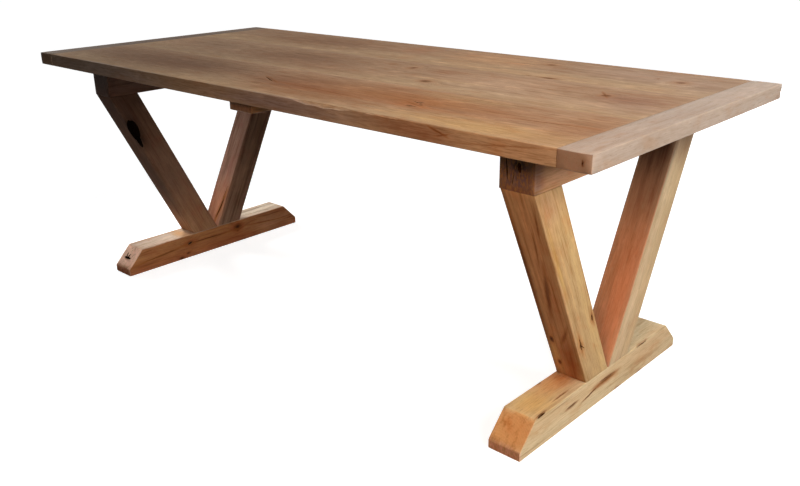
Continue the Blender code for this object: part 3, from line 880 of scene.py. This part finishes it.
# Directions in log coordinates: along and up, out of a foot's right face, its upper right arris and its
# front chamfer, out of a rail's front end, and out of a front leg's right cheek
ALONG = (1.0, 0.0, 0.0)
UP = (0.0, 0.0, 1.0)
RIGHT_FACE = (0.0, -1.0, 0.0)
RIGHT_ARRIS = (0.0, -0.8, 0.6)
CHAMFER = (-0.716, 0.0, 0.698)
FRONT_END = (-1.0, 0.0, 0.0)
RIGHT_CHEEK = (0.0, 1.0, 0.0)

# Waney stretches of the tree's own edge on the front arris: place along it, length, width and depth.
# The lens that cuts one has its middle a little in front of the arris and above it.
WANES = ((0.335, 0.25, 0.030, 0.0165), (0.53, 0.20, 0.024, 0.0105))
WANE_FRONT = FRONT - 0.003
WANE_TOP = FACE + 0.007

# What the photograph shows in each board of the top: knots, gum veins, stained patches and splits;
# the dark patches at the left end are partly painted shade
board_marks = {
    1: {
        "pith": (0.060, -0.115), "seed": 1.3,
        "knots": (
            (0.503, 0.010, FACE, 0.014, 0.006, 0.012, 0.30),
            (0.521, -0.012, FACE, 0.009, 0.005, 0.010, 0.35),
            (0.507, -0.037, FACE, 0.013, 0.005, 0.012, 0.30),
            (0.665, -0.075, FACE, 0.016, 0.007, 0.010, 0.95),
        ),
        "veins": (
            (0.855, 0.016, FACE, 0.110, 0.0030, 0.006, 0.12, 0.0, 0.60),
            (0.200, -0.030, FACE, 0.180, 0.0045, 0.006, -0.07, 0.0, 0.40),
            (-0.018, -0.005, FACE, 0.055, 0.0045, 0.006, -0.45, 0.0, 0.60),
            (0.500, -0.014, FACE, 0.050, 0.0030, 0.006, -0.35, 0.0, 0.45),
            (0.688, FRONT, 0.008, 0.026, 0.008, 0.0030, 0.0, -0.33, 0.75),
            (0.700, FRONT, 0.001, 0.022, 0.008, 0.0022, 0.0, 0.25, 0.45),
            (0.860, FRONT, 0.004, 0.110, 0.008, 0.0020, 0.0, 0.10, 0.35),
        ),
        "stains_and_painted_light": (
            # Darker towards the left end: partly the wood's own tone, partly painted shade
            (-0.38, 0.020, FACE, 0.32, 0.110, 0.030, "#6b4a34", 0.45),
            (0.42, 0.020, FACE, 0.52, 0.120, 0.014, "#a26a3c", 0.75),
            (0.05, -0.010, FACE, 0.22, 0.140, 0.020, "#85583a", 0.60),
            (0.22, -0.090, FACE, 0.30, 0.060, 0.014, "#97643c", 0.60),
            (0.20, -0.030, FACE, 0.24, 0.030, 0.014, "#98592f", 0.50),
            (0.50, -0.012, FACE, 0.070, 0.050, 0.014, "#a7683a", 0.60),
            (0.76, -0.105, FACE, 0.30, 0.065, 0.014, "#c8a267", 0.60),
            (0.57, 0.110, FACE, 0.18, 0.045, 0.012, "#bf9d72", 0.60),
            (0.93, 0.000, FACE, 0.09, 0.200, 0.014, "#9a6a44", 0.45),
            # Darker towards the left end: partly the wood's own tone, partly painted shade
            (-0.58, 0.000, FACE, 0.60, 0.200, 0.020, "#6b4c36", 0.72),
            (-0.70, FRONT, 0.000, 0.60, 0.012, 0.060, "#988a84", 0.80),
            (0.16, FRONT, 0.000, 0.36, 0.010, 0.040, "#98857f", 0.85),
            (0.62, FRONT, 0.000, 0.17, 0.010, 0.040, "#946648", 0.75),
            (0.87, FRONT, 0.000, 0.15, 0.008, 0.040, "#be9872", 0.75),
        ),
        "splits": (
            ((-0.030, -0.005, FACE), (1.0, -0.50, 0.0), UP, 0.080, 0.0034, 0.004),
            ((0.498, 0.004, FACE), (1.0, -0.40, 0.0), UP, 0.046, 0.0022, 0.003),
            ((0.512, -0.032, FACE), (1.0, -0.10, 0.0), UP, 0.044, 0.0020, 0.003),
        ),
    },
    2: {
        "pith": (0.055, -0.100), "seed": 5.1,
        "knots": (
            (0.155, 0.070, FACE, 0.018, 0.024, 0.015, 0.55),
            (0.326, -0.074, FACE, 0.024, 0.018, 0.015, 0.40),
            (0.790, 0.043, FACE, 0.014, 0.014, 0.015, 0.20),
        ),
        "veins": (
            (0.783, 0.050, FACE, 0.034, 0.0040, 0.006, -0.93, 0.0, 0.60),
        ),
        "stains_and_painted_light": (
            # These three darken the left end: partly the wood's own tone, partly painted shade
            (-0.70, 0.030, FACE, 0.24, 0.090, 0.030, "#77604c", 0.40),
            (-0.60, -0.100, FACE, 0.50, 0.080, 0.030, "#7f6350", 0.45),
            (-0.28, 0.010, FACE, 0.34, 0.150, 0.030, "#765036", 0.62),
            (-0.05, -0.090, FACE, 0.30, 0.060, 0.020, "#96694c", 0.45),
            (0.50, 0.040, FACE, 0.24, 0.110, 0.020, "#c8a98c", 0.60),
            (0.28, 0.066, FACE, 0.06, 0.040, 0.020, "#a26a4a", 0.45),
            (0.37, -0.036, FACE, 0.15, 0.016, 0.015, "#cbab82", 0.55),
            (0.62, -0.070, FACE, 0.30, 0.060, 0.015, "#c2a689", 0.60),
            (0.86, 0.030, FACE, 0.12, 0.080, 0.020, "#906752", 0.65),
            (0.92, -0.060, FACE, 0.10, 0.100, 0.020, "#a68a73", 0.50),
        ),
        "splits": (),
    },
    3: {
        "pith": (0.065, -0.110), "seed": 9.7,
        "knots": (
            (0.435, 0.052, FACE, 0.026, 0.018, 0.010, 0.58),
            (0.550, -0.141, FACE, 0.028, 0.009, 0.015, 0.30),
            (0.490, -0.141, FACE, 0.009, 0.004, 0.010, 0.50),
            (0.852, 0.005, FACE, 0.024, 0.026, 0.012, 0.65),
            (0.780, 0.026, FACE, 0.007, 0.006, 0.012, 0.65),
        ),
        "veins": (),
        "stains_and_painted_light": (
            # Darker towards the left end: partly the wood's own tone, partly painted shade
            (-0.50, 0.000, FACE, 0.40, 0.150, 0.030, "#7f5537", 0.58),
            (-0.07, 0.050, FACE, 0.08, 0.090, 0.020, "#b47d5a", 0.45),
            (0.26, 0.030, FACE, 0.22, 0.130, 0.020, "#d2a67c", 0.65),
            (0.76, 0.040, FACE, 0.28, 0.110, 0.020, "#b69b86", 0.55),
            (0.93, -0.040, FACE, 0.09, 0.150, 0.020, "#ac927d", 0.50),
            (0.42, -0.105, FACE, 0.50, 0.030, 0.020, "#cba983", 0.50),
        ),
        "splits": (),
    },
}
for number, marks in board_marks.items():
    low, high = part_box(f"top_board_{number}")
    log = (Vector((0.0, (low.y + high.y) / 2, TOP_MIDDLE)), ALONG_X)
    wood = timber_wood(
        f"oiled_board_{number}", *log, marks["pith"], (0.150, 0.190), BOARD_TONES, marks["seed"],
        marks["knots"], marks["veins"], marks["stains_and_painted_light"], streak=0.25, oil=0.006,
    )
    tools = [split(log, *place) for place in marks["splits"]]
    if number == 1:
        for middle, *sizes in WANES:
            tools.append(ragged_lens(log, (middle, WANE_FRONT, WANE_TOP), ALONG, UP, *sizes, WANE_WANDER))
    make_board(number, wood, tools)

# The right breadboard has a knot in its front end and a painted sheen towards its back; the left
# one is dark all over, partly its own tone and partly painted shade
breadboard_marks = {
    "left": {
        "seed": 3.2,
        "knots": (),
        # Dark all over: partly the wood's own tone, partly painted shade
        "colour_patch": (0.0, 0.0, FACE, 0.90, 0.300, 0.030, "#6a584a", 0.85),
    },
    "right": {
        "seed": 14.6,
        "knots": ((-0.455, -0.0175, 0.0, 0.012, 0.0035, 0.0060, 0.10),),
        # Painted sheen: a pale greyish patch over the back of the top
        "colour_patch": (0.35, 0.0, FACE, 0.34, 0.090, 0.020, "#c9b7a8", 0.60),
    },
}
for end, marks in breadboard_marks.items():
    log = middle_log(f"breadboard_{end}", ALONG_Y)
    wood = timber_wood(
        f"oiled_breadboard_{end}", *log, (0.02, -0.13), (0.10, 0.16), BREADBOARD_TONES, marks["seed"],
        marks["knots"], stains_and_painted_light=((-0.25, -SIDE, 0.0, 0.36, 0.010, 0.060, "#8d7a66", 0.75), marks["colour_patch"]),
        figure=0.5, streak=0.18, oil=0.006, end_tone="#c3935c",
    )
    make_breadboard(end, wood)

log = middle_log("centre_batten", ALONG_Y)
make_batten(timber_wood("bare_batten", *log, (0.01, -0.07), (0.09, 0.14), PLAIN_TONES, 21.0))

# The right trestle is golden and streaky, with gum veins; the left one is of dark brown heartwood
rail_marks = {
    "trestle_left": {
        "tones": BROWN_TONES, "seed": 31.0,
        "stains_and_painted_light": (
            (RAIL_FRONT, 0.000, 0.000, 0.050, 0.120, 0.120, "#3a2c28", 0.80),
            (-0.20, -SIDE, 0.000, 0.36, 0.010, 0.090, "#7f6962", 0.75),
        ),
        "splits": (),
    },
    "trestle_right": {
        "tones": GOLDEN_TONES, "seed": 47.0,
        "stains_and_painted_light": (
            (-0.20, -SIDE, 0.000, 0.40, 0.010, 0.090, "#e2ae8c", 0.80),
            (RAIL_FRONT, 0.000, -0.010, 0.040, 0.100, 0.090, "#78686e", 0.90),
            (RAIL_FRONT, -0.004, 0.010, 0.014, 0.020, 0.017, "#1f1410", 0.90),
            (RAIL_FRONT, 0.000, -0.046, 0.020, 0.060, 0.014, "#8a4a2c", 0.60),
        ),
        "splits": (
            ((RAIL_FRONT, 0.0253, -0.002), (0.0, 0.12, 1.0), FRONT_END, 0.044, 0.0034, 0.006),
            ((RAIL_FRONT, -0.0060, 0.006), (0.0, 0.10, 1.0), FRONT_END, 0.022, 0.0090, 0.008),
            ((RAIL_FRONT, 0.0090, -0.020), (0.0, -0.20, 1.0), FRONT_END, 0.026, 0.0016, 0.004),
        ),
    },
}
for trestle, marks in rail_marks.items():
    log = middle_log(f"{trestle}_rail", ALONG_Y)
    wood = timber_wood(
        f"oiled_{trestle}_rail", *log, (0.03, -0.08), (0.08, 0.13), marks["tones"], marks["seed"],
        stains_and_painted_light=marks["stains_and_painted_light"], figure=0.6, streak=0.4, oil=0.02, end_tone="#a89088",
    )
    make_rail(trestle, wood, [split(log, *place) for place in marks["splits"]])

foot_marks = {
    "trestle_left": {
        "tones": RUSSET_TONES, "seed": 33.0, "streak": 0.6, "oil": 0.004,
        # Painted highlight: the chamfers take a pale pink tone for the light falling on them
        "end_tone": "#b98a5e", "slant_tone_and_highlight": "#efcbb2",
        "knots": (
            (-0.127, -SIDE, 0.011, 0.016, 0.010, 0.008, 0.00),
            (0.090, -SIDE, 0.016, 0.018, 0.010, 0.013, 0.00),
            (-0.1375, -SIDE, -0.024, 0.011, 0.007, 0.005, 0.20),
            (-0.170, -SIDE, -0.037, 0.013, 0.008, 0.007, 0.00),
            (-0.357, 0.006, 0.008, 0.008, 0.013, 0.0050, 0.45),
        ),
        "veins": (
            (-0.250, -SIDE, -0.001, 0.115, 0.008, 0.0040, 0.0, 0.09, 0.85),
            (-0.035, -SIDE, 0.009, 0.115, 0.008, 0.0042, 0.0, 0.00, 0.90),
            (0.220, -SIDE, 0.004, 0.100, 0.008, 0.0030, 0.0, -0.08, 0.55),
            (0.090, -SIDE, 0.001, 0.010, 0.006, 0.0060, 0.0, 0.0, 0.50),
        ),
        "stains_and_painted_light": (
            # Painted light: the whole top is bleached pale cream for the light falling on it
            (-0.22, 0.0, FOOT_TOP, 0.40, 0.120, 0.003, "#d5bfa9", 0.92),
            (0.24, 0.0, FOOT_TOP, 0.40, 0.120, 0.003, "#dccfba", 0.95),
            (-0.14, 0.0, FOOT_TOP, 0.030, 0.070, 0.006, "#d0964e", 0.60),
            (0.27, -SIDE, 0.000, 0.16, 0.010, 0.060, "#b98a66", 0.65),
            (-0.385, 0.0, -0.034, 0.012, 0.160, 0.024, "#8a5a42", 0.90),
        ),
        "splits": (
            ((-0.3560, 0.0060, 0.0085), (0.0, 1.0, 0.0), CHAMFER, 0.036, 0.0090, 0.008, HOLE_WOOD),
            ((-0.3500, 0.0160, 0.0145), (0.65, 0.35, 0.66), CHAMFER, 0.021, 0.0062, 0.007, HOLE_WOOD),
            ((-0.3510, 0.0030, 0.0135), (0.65, -0.10, 0.66), CHAMFER, 0.021, 0.0062, 0.007, HOLE_WOOD),
            ((-0.0600, -SIDE, 0.0100), (1.0, 0.0, -0.02), RIGHT_FACE, 0.130, 0.0016, 0.004),
            ((-0.1270, -SIDE, 0.0110), (1.0, 0.0, 0.30), RIGHT_FACE, 0.020, 0.0080, 0.004, HOLE_WOOD),
        ),
    },
    "trestle_right": {
        "tones": STRAW_TONES, "seed": 49.0, "streak": 0.38, "oil": 0.02,
        "end_tone": "#dfbcae", "slant_tone_and_highlight": "#d39b5f",
        "knots": (
            (-0.181, 0.044, FOOT_TOP, 0.008, 0.006, 0.005, 0.10),
        ),
        "veins": (
            (-0.167, -SIDE, 0.007, 0.028, 0.008, 0.0042, 0.0, 0.05, 0.80),
            (-0.005, -SIDE, 0.0115, 0.056, 0.008, 0.0070, 0.0, 0.04, 0.68),
            (-0.080, -SIDE, 0.002, 0.038, 0.006, 0.0030, 0.0, 0.19, 0.95),
            (-0.215, -SIDE, 0.032, 0.045, 0.006, 0.0014, 0.0, 0.02, 0.45),
            (0.062, -SIDE, -0.040, 0.016, 0.006, 0.003, 0.0, 0.0, 0.75),
            (0.1735, -SIDE, -0.040, 0.018, 0.006, 0.003, 0.0, 0.0, 0.75),
            (0.182, -SIDE, 0.041, 0.030, 0.006, 0.0022, 0.0, 0.0, 0.75),
            (-0.195, -0.030, FOOT_TOP, 0.036, 0.0020, 0.004, 0.03, 0.0, 0.80),
            (-0.300, -0.041, FOOT_TOP, 0.022, 0.0030, 0.004, 0.05, 0.0, 0.95),
        ),
        "stains_and_painted_light": (
            (-0.005, -SIDE, 0.010, 0.075, 0.008, 0.013, "#b87a3e", 0.75),
            (-0.27, 0.0, FOOT_TOP, 0.10, 0.080, 0.008, "#e2bd78", 0.85),
            (-0.160, 0.020, FOOT_TOP, 0.085, 0.065, 0.008, "#cd9152", 0.80),
            (-0.120, 0.020, FOOT_TOP, 0.040, 0.055, 0.008, "#a86434", 0.75),
            (-0.385, 0.0, -0.034, 0.012, 0.160, 0.024, "#e3bca6", 0.85),
            (0.24, -SIDE, 0.000, 0.14, 0.010, 0.050, "#d6b68e", 0.45),
        ),
        "splits": (
            ((-0.167, -SIDE, 0.0085), (1.0, 0.0, 0.05), RIGHT_FACE, 0.044, 0.0020, 0.004),
            ((0.002, -SIDE, 0.0165), (1.0, 0.0, -0.02), RIGHT_FACE, 0.080, 0.0018, 0.004),
            ((-0.080, -SIDE, 0.0020), (1.0, 0.0, 0.19), RIGHT_FACE, 0.060, 0.0018, 0.004),
            ((-0.300, -0.0430, 0.0410), (1.0, 0.0, 0.08), RIGHT_ARRIS, 0.036, 0.0034, 0.005),
            ((0.182, -0.0440, 0.0400), (1.0, 0.0, 0.02), RIGHT_ARRIS, 0.056, 0.0022, 0.004),
        ),
    },
}
for trestle, marks in foot_marks.items():
    log = middle_log(f"{trestle}_foot", ALONG_Y)
    wood = timber_wood(
        f"oiled_{trestle}_foot", *log, (0.03, -0.09), (0.08, 0.13), marks["tones"], marks["seed"],
        marks["knots"], marks["veins"], marks["stains_and_painted_light"], figure=0.55, streak=marks["streak"],
        oil=marks["oil"], end_tone=marks["end_tone"], slant_tone_and_highlight=marks["slant_tone_and_highlight"],
    )
    make_foot(trestle, wood, [split(log, *place) for place in marks["splits"]])

leg_marks = {
    ("trestle_left", "front"): {
        "tones": BROWN_TONES, "seed": 35.0, "knots": (), "veins": (), "streak": 0.35, "oil": 0.004,
        "stains_and_painted_light": (
            (0.480, CHEEK, -0.035, 0.085, 0.020, 0.034, "#140d0b", 0.95),
            # Painted light and shade: paler at the foot and darker at the top, where the table shades the leg
            (0.03, 0.0, 0.0, 0.20, 0.160, 0.160, "#ad7d58", 0.75),
            (0.62, 0.0, 0.0, 0.20, 0.160, 0.160, "#50413d", 0.65),
            (0.30, 0.0, -EDGE, 0.20, 0.080, 0.016, "#624839", 0.85),
        ),
        "splits": (
            ((0.489, CHEEK, -0.035), (1.0, 0.0, 0.10), (0.0, 1.0, -0.2), 0.074, 0.038, 0.018, HOLE_WOOD),
            ((0.451, CHEEK, -0.039), (1.0, 0.0, 0.04), RIGHT_CHEEK, 0.060, 0.014, 0.012, HOLE_WOOD),
            ((0.514, CHEEK, -0.040), (1.0, 0.0, 0.50), (0.0, 1.0, -0.4), 0.036, 0.016, 0.012, HOLE_WOOD),
        ),
    },
    ("trestle_left", "back"): {
        "tones": BROWN_TONES, "seed": 37.0, "knots": (), "streak": 0.5, "oil": 0.006,
        "veins": (
            (0.050, -0.025, EDGE, 0.070, 0.0080, 0.008, -0.16, 0.0, 0.85),
        ),
        "stains_and_painted_light": (
            (0.15, 0.000, EDGE, 0.40, 0.100, 0.014, "#a6826f", 0.80),
            (0.05, 0.000, EDGE, 0.12, 0.100, 0.014, "#bd8563", 0.70),
        ),
        "splits": (
            ((0.108, -0.028, EDGE), (1.0, -0.10, 0.0), UP, 0.060, 0.0020, 0.005),
            ((0.045, -0.024, EDGE), (1.0, -0.18, 0.0), UP, 0.080, 0.0050, 0.006),
        ),
    },
    ("trestle_right", "front"): {
        "tones": GOLDEN_TONES, "seed": 51.0, "streak": 0.5, "oil": 0.02,
        "knots": (
            (0.155, -0.026, -EDGE, 0.012, 0.006, 0.006, 0.10),
            (0.072, -0.022, -EDGE, 0.010, 0.005, 0.006, 0.15),
            (0.146, CHEEK, -0.030, 0.010, 0.006, 0.0060, 0.15),
            (0.180, CHEEK, 0.0345, 0.010, 0.006, 0.0055, 0.20),
        ),
        "veins": (
            (0.150, CHEEK, -0.029, 0.034, 0.006, 0.0040, 0.0, 0.05, 0.50),
            (0.180, CHEEK, 0.036, 0.026, 0.006, 0.0040, 0.0, 0.0, 0.40),
            (0.260, CHEEK, 0.044, 0.050, 0.006, 0.0030, 0.0, 0.0, 0.60),
            (0.325, 0.002, -EDGE, 0.090, 0.0070, 0.010, 0.13, 0.0, 0.65),
            (0.183, 0.015, -EDGE, 0.040, 0.0050, 0.010, 0.40, 0.0, 0.50),
            (0.545, 0.028, -EDGE, 0.050, 0.0030, 0.010, 0.10, 0.0, 0.50),
            (0.470, 0.006, -EDGE, 0.060, 0.0030, 0.010, 0.08, 0.0, 0.45),
            (0.400, -0.038, -EDGE, 0.200, 0.0060, 0.010, 0.00, 0.0, 0.80),
        ),
        "stains_and_painted_light": (
            (0.30, 0.0, -EDGE, 0.60, 0.075, 0.010, "#cc9b71", 0.80),
            (0.32, -0.040, -EDGE, 0.36, 0.013, 0.012, "#4c2f1c", 0.80),
            (0.08, 0.012, -EDGE, 0.12, 0.030, 0.010, "#95502a", 0.65),
            (0.095, -0.028, -EDGE, 0.080, 0.014, 0.010, "#dcae74", 0.85),
            (0.42, CHEEK, -0.034, 0.16, 0.010, 0.010, "#d0a95a", 0.50),
            (0.57, CHEEK, 0.0, 0.07, 0.010, 0.050, "#c49a78", 0.45),
            (0.150, CHEEK, -0.030, 0.060, 0.010, 0.012, "#b9783c", 0.60),
            (0.180, CHEEK, 0.036, 0.045, 0.010, 0.012, "#b9783c", 0.55),
        ),
        "splits": (
            ((0.150, CHEEK, -0.030), (1.0, 0.0, 0.06), RIGHT_CHEEK, 0.040, 0.0024, 0.005),
            ((0.138, CHEEK, -0.026), (1.0, 0.0, -0.55), RIGHT_CHEEK, 0.026, 0.0020, 0.005),
            ((0.180, CHEEK, 0.0345), (1.0, 0.0, 0.0), RIGHT_CHEEK, 0.018, 0.0040, 0.005),
        ),
    },
    ("trestle_right", "back"): {
        "tones": BUFF_TONES, "seed": 53.0, "knots": (), "veins": (), "streak": 0.35, "oil": 0.02,
        "stains_and_painted_light": (
            (0.25, 0.0, EDGE, 0.80, 0.300, 0.006, "#c67c53", 0.92),
            # Painted shade: the top of the inner face goes almost black where the table top shades it
            (0.61, 0.0, EDGE, 0.26, 0.140, 0.020, "#38241b", 0.95),
            # Painted shadow at the top of the leg's outer side face, under the breadboard
            (0.63, -CHEEK, 0.0, 0.12, 0.010, 0.090, "#7d5f4c", 0.80),
        ),
        "splits": (),
    },
}
for (trestle, leg), marks in leg_marks.items():
    log = leg_log(trestle, leg)
    wood = timber_wood(
        f"oiled_{trestle}_{leg}_leg", *log, (0.01, -0.10), (0.08, 0.13), marks["tones"], marks["seed"],
        marks["knots"], marks["veins"], marks["stains_and_painted_light"], figure=0.6, streak=marks["streak"],
        oil=marks["oil"],
    )
    make_leg(trestle, leg, wood, [split(log, *place) for place in marks["splits"]])

# Carried-over joinery and hardware
AT_ORIGIN = (0.0, 0.0, 0.0)
upright_wood = timber_wood(
    "bare_upright_joint", AT_ORIGIN, ALONG_Z, (0.4, -0.5), (0.6, 0.8), PLAIN_TONES, 61.0
)
long_wood = timber_wood("bare_long_joint", AT_ORIGIN, ALONG_X, (0.4, -0.5), (0.6, 0.8), PLAIN_TONES, 67.0)
for name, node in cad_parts.items():
    if node.hide_render:
        continue
    if "spline" in name:
        finish = long_wood
    elif "peg" in name or "tenon" in name:
        finish = upright_wood
    else:
        finish = ZINC_STEEL
    for place in node.material_slots:
        place.material = finish


def seen_sharply(tree):
    """A mask of the rays that show the studio as a picture: straight on, mirrored or through glass."""
    rays = add(tree, "LightPath").node.outputs
    mirrored = add(tree, "Math", {0: rays["Is Camera Ray"], 1: rays["Is Glossy Ray"]}, operation="MAXIMUM")
    return add(tree, "Math", {0: mirrored, 1: rays["Is Transmission Ray"]}, operation="MAXIMUM")


def pale_floor():
    """A matt white studio floor that shows white to the camera and keeps the table's soft shadow."""
    material = new_material("matt_white_floor")
    tree = material.node_tree
    # The floor glows to full white away from the table, and a little less under it, where it is shaded
    place = add(tree, "TexCoord", out="Object")
    away = add(tree, "VectorMath", {0: place}, "Value", operation="LENGTH")
    strength = add(
        tree, "MapRange",
        {"Value": away, "From Min": 1.0, "From Max": 3.0, "To Min": 0.84, "To Max": 1.0},
        interpolation_type="SMOOTHSTEP",
    )
    lit = add(tree, "BsdfDiffuse", {"Color": linear("#bcbcbc")})
    glow = add(tree, "Emission", {"Color": linear("#ffffff"), "Strength": strength})
    shown = add(tree, "AddShader", {0: lit, 1: glow})
    bounce = add(tree, "BsdfDiffuse", {"Color": linear("#7d766e")})
    surface = add(tree, "MixShader", {0: seen_sharply(tree), 1: bounce, 2: shown})
    add(tree, "OutputMaterial", {"Surface": surface})
    return material


FLOOR_SIZE = 60.0
deselect()
bpy.ops.mesh.primitive_plane_add(size=FLOOR_SIZE, location=AT_ORIGIN)
floor = bpy.context.object
floor.name = "studio_floor"
floor.data.materials.append(pale_floor())


def studio_world():
    """Even studio light all round, with a white ground behind the table."""
    world = bpy.data.worlds.new("studio")
    bpy.context.scene.world = world
    world.use_nodes = True
    tree = world.node_tree
    tree.nodes.clear()
    room = add(tree, "Background", {"Color": linear("#ffffff"), "Strength": 0.04})
    white = add(tree, "Background", {"Color": linear("#ffffff"), "Strength": 1.0})
    mixed = add(tree, "MixShader", {0: seen_sharply(tree), 1: room, 2: white})
    add(tree, "OutputWorld", {"Surface": mixed})


studio_world()


def lamp(name, spot, target, size, power, tint="#ffffff", spread=180.0):
    """A soft square studio lamp aimed at a point, with its beam narrowed to a spread in degrees."""
    light = bpy.data.lights.new(name, "AREA")
    light.energy = power
    light.size = size
    light.color = linear(tint)[:3]
    light.spread = math.radians(spread)
    holder = bpy.data.objects.new(name, light)
    bpy.context.scene.collection.objects.link(holder)
    holder.location = spot
    holder.visible_camera = False
    holder.rotation_euler = (Vector(target) - Vector(spot)).to_track_quat("-Z", "Y").to_euler()


lamp("window_right", (3.6, -0.75, 2.1), (0.8, 0.0, 0.4), 1.5, 112.0)
lamp("warm_front", (1.5, -2.4, 1.9), (0.90, -0.3, 0.26), 0.7, 5.4, "#ffcdaa", 72.0)
lamp("sky_above", (0.3, 0.9, 3.3), (0.3, 0.2, 0.7), 2.4, 34.0)
lamp("back_wall", (-0.5, 3.9, 1.35), (0.5, 0.2, 0.72), 1.6, 7.0)
lamp("left_foot_front", (1.0, -2.3, 0.45), (-0.83, -0.15, 0.03), 0.5, 0.40, spread=20.0)
lamp("low_left", (-1.75, 0.05, 0.66), (-0.83, 0.03, 0.06), 0.6, 4.0, spread=70.0)
lamp("low_back", (-0.3, 4.6, 0.36), (0.0, 0.4, 0.4), 0.7, 34.0)

# The photograph's view: a 38 mm lens a little above the top, at the front right corner, slightly rolled
EYE = Vector((1.7920, -1.7593, 1.1531))
AIM = Vector((0.3906, -0.2508, 0.3781))
FOCAL_LENGTH = 38.22
SENSOR_WIDTH = 36.0
ROLL = math.radians(-0.785)
lens = bpy.data.cameras.new("photo_view")
lens.lens = FOCAL_LENGTH
lens.sensor_width = SENSOR_WIDTH
camera = bpy.data.objects.new("photo_view", lens)
bpy.context.scene.collection.objects.link(camera)
camera.location = EYE
camera.rotation_mode = "QUATERNION"
camera.rotation_quaternion = (AIM - EYE).to_track_quat("-Z", "Y") @ Quaternion((0.0, 0.0, 1.0), ROLL)
bpy.context.scene.camera = camera
bpy.context.scene.view_settings.view_transform = "Standard"
